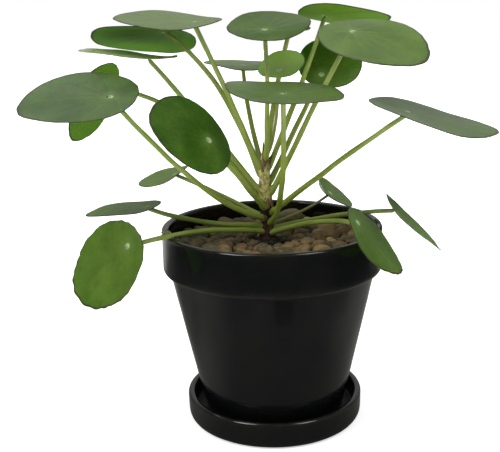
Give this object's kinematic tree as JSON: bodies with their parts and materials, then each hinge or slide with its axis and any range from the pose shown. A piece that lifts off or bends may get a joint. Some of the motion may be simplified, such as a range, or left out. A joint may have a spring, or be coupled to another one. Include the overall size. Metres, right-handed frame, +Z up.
{
  "type": "potted pilea plant",
  "caption": "Round-leaved pilea on a short woody trunk, in a glazed rimmed pot that stands on a matching saucer, with gravel over the soil.",
  "frame": {"origin": "middle of the saucer's flat underside", "axes": "+Z up through the middle of the pot; +Y away from the side that the tallest leaves face; +X to the right of that side"},
  "size_m": [0.2562, 0.1561, 0.248],
  "materials": {
    "glaze": "gloss black glaze over fired clay",
    "soil": "dark potting soil, rough and matt",
    "gravel": "tumbled river gravel in tans, browns and greys",
    "bark": "scaly brown stem with leaf scars",
    "leaf": "smooth waxy green leaf",
    "stalk": "smooth pale green leaf stalk"
  },
  "bodies": {
    "root": {"gravel": "gravel", "leaf_blade_01": "leaf", "leaf_blade_02": "leaf", "leaf_blade_03": "leaf", "leaf_blade_04": "leaf", "leaf_blade_05": "leaf", "leaf_blade_06": "leaf", "leaf_blade_07": "leaf", "leaf_blade_08": "leaf", "leaf_blade_09": "leaf", "leaf_blade_10": "leaf", "leaf_blade_11": "leaf", "leaf_blade_12": "leaf", "leaf_blade_13": "leaf", "leaf_blade_14": "leaf", "leaf_blade_15": "leaf", "leaf_blade_16": "leaf", "leaf_blade_17": "leaf", "leaf_blade_18": "leaf", "leaf_blade_19": "leaf", "leaf_blade_20": "leaf", "leaf_blade_21": "leaf", "leaf_stalk_01": "stalk", "leaf_stalk_02": "stalk", "leaf_stalk_03": "stalk", "leaf_stalk_04": "stalk", "leaf_stalk_05": "stalk", "leaf_stalk_06": "stalk", "leaf_stalk_07": "stalk", "leaf_stalk_08": "stalk", "leaf_stalk_09": "stalk", "leaf_stalk_10": "stalk", "leaf_stalk_11": "stalk", "leaf_stalk_12": "stalk", "leaf_stalk_13": "stalk", "leaf_stalk_14": "stalk", "leaf_stalk_15": "stalk", "leaf_stalk_16": "stalk", "leaf_stalk_17": "stalk", "leaf_stalk_18": "stalk", "leaf_stalk_19": "stalk", "leaf_stalk_20": "stalk", "leaf_stalk_21": "stalk", "pot": "glaze", "saucer": "glaze", "soil": "soil", "trunk": "bark"}
  },
  "joints": []
}
